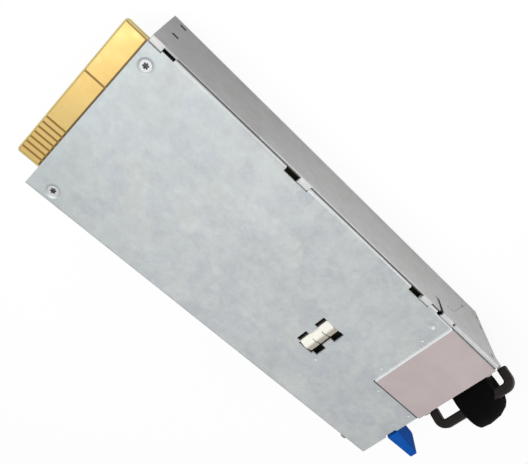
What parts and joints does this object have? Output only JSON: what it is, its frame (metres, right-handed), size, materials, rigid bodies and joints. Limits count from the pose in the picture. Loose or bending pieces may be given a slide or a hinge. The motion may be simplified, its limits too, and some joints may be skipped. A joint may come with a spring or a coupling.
{
  "type": "hot swap server power supply",
  "caption": "Slim sheet-steel plug-in power supply with a folding handle, spring latch, front fan, mains inlet and a gold card edge.",
  "frame": {"origin": "middle of the underside of the case: half way between the side walls and between the front bracket's face and the rear wall", "axes": "+Y to the card edge, -Y to the handle and inlet, +Z through the screwed broad face, +X to the side wall with the seam hooks"},
  "size_m": [0.0756, 0.226, 0.04],
  "materials": {
    "cover_zinc": "galvanised, soft spangle",
    "chassis_zinc": "galvanised, satin",
    "bracket_steel": "polished, warm tint",
    "screw_zinc": "bright zinc",
    "spring_steel": "rolled, satin",
    "standoff_nickel": "nickel plated",
    "laminate": "coated glass laminate",
    "gold": "gold plated",
    "copper": "tinned copper",
    "copper_wire": "enamelled wire",
    "insulator": "clear amber sheet",
    "white_nylon": "moulded nylon",
    "black_nylon": "fine moulded texture",
    "strap_black": "napped hook and loop",
    "blue_nylon": "satin moulded",
    "black_plastic": "satin moulded",
    "pin_nickel": "nickel plated",
    "lead_black": "sleeved wire",
    "clear_pipe": "clear moulded",
    "ferrite": "matt",
    "magnet": "matt bonded",
    "tape_yellow": "taped winding",
    "film_grey": "moulded box",
    "disc_blue": "dipped",
    "fuse_ceramic": "glazed tube and clips",
    "can_sleeve": "shrink sleeve",
    "can_silver": "drawn can",
    "sink_aluminium": "extruded"
  },
  "bodies": {
    "housing": {"chassis": "chassis_zinc", "cover": "cover_zinc", "fan_bracket": "bracket_steel", "bracket_rivets": "screw_zinc", "cover_screws": "screw_zinc", "board_standoffs": "standoff_nickel", "board_screws": "screw_zinc", "cover_insulator": "insulator", "floor_liner": "insulator", "board_support": "white_nylon", "ac_inlet": "black_plastic", "inlet_pins": "pin_nickel", "inlet_leads": "lead_black", "light_pipe": "clear_pipe", "status_led": "clear_pipe", "latch_rivets": "screw_zinc", "handle_pins": "screw_zinc", "fan_frame": "black_plastic", "fan_bearings": "screw_zinc", "fan_stator": "copper_wire", "fan_screws": "screw_zinc", "fan_lead": "lead_black", "fan_header": "white_nylon", "main_board": "laminate", "power_pads": "gold", "signal_pads": "gold", "emi_choke_core": "ferrite", "emi_choke_coils": "copper_wire", "x_capacitors": "film_grey", "y_capacitors": "disc_blue", "fuse": "fuse_ceramic", "relay": "black_plastic", "bridge_rectifier": "black_plastic", "pfc_choke": "ferrite", "bulk_capacitor": "can_sleeve", "primary_heatsink": "sink_aluminium", "power_transistors": "black_plastic", "transistor_screws": "screw_zinc", "transformer_core": "ferrite", "transformer_coil": "tape_yellow", "resonant_choke": "ferrite", "secondary_heatsink": "sink_aluminium", "output_capacitors": "can_silver", "output_busbars": "copper", "control_card": "laminate", "control_chips": "black_plastic"},
    "fan": {"fan_rotor": "black_plastic", "fan_shaft": "screw_zinc", "fan_magnet": "magnet"},
    "handle": {"handle_bail": "black_nylon", "handle_arms": "spring_steel", "cord_strap": "strap_black"},
    "latch": {"latch_leaf": "spring_steel", "release_tab": "blue_nylon"}
  },
  "joints": [
    {"name": "fan_spin", "type": "hinge", "parent": "housing", "child": "fan", "pos_m": [0.01475, -0.075, 0.0199], "axis": [0, 1, 0], "continuous": true},
    {"name": "handle_fold", "type": "hinge", "parent": "housing", "child": "handle", "pos_m": [0.0158, -0.096, 0.02], "axis": [1, 0, 0], "range_deg": [-20, 50]},
    {"name": "latch_press", "type": "hinge", "parent": "housing", "child": "latch", "pos_m": [-0.035, -0.05, 0.0331], "axis": [0, 0, 1], "range_deg": [0, 4.5], "stiffness_Nm_per_rad": 4, "springref_deg": -1.15}
  ]
}
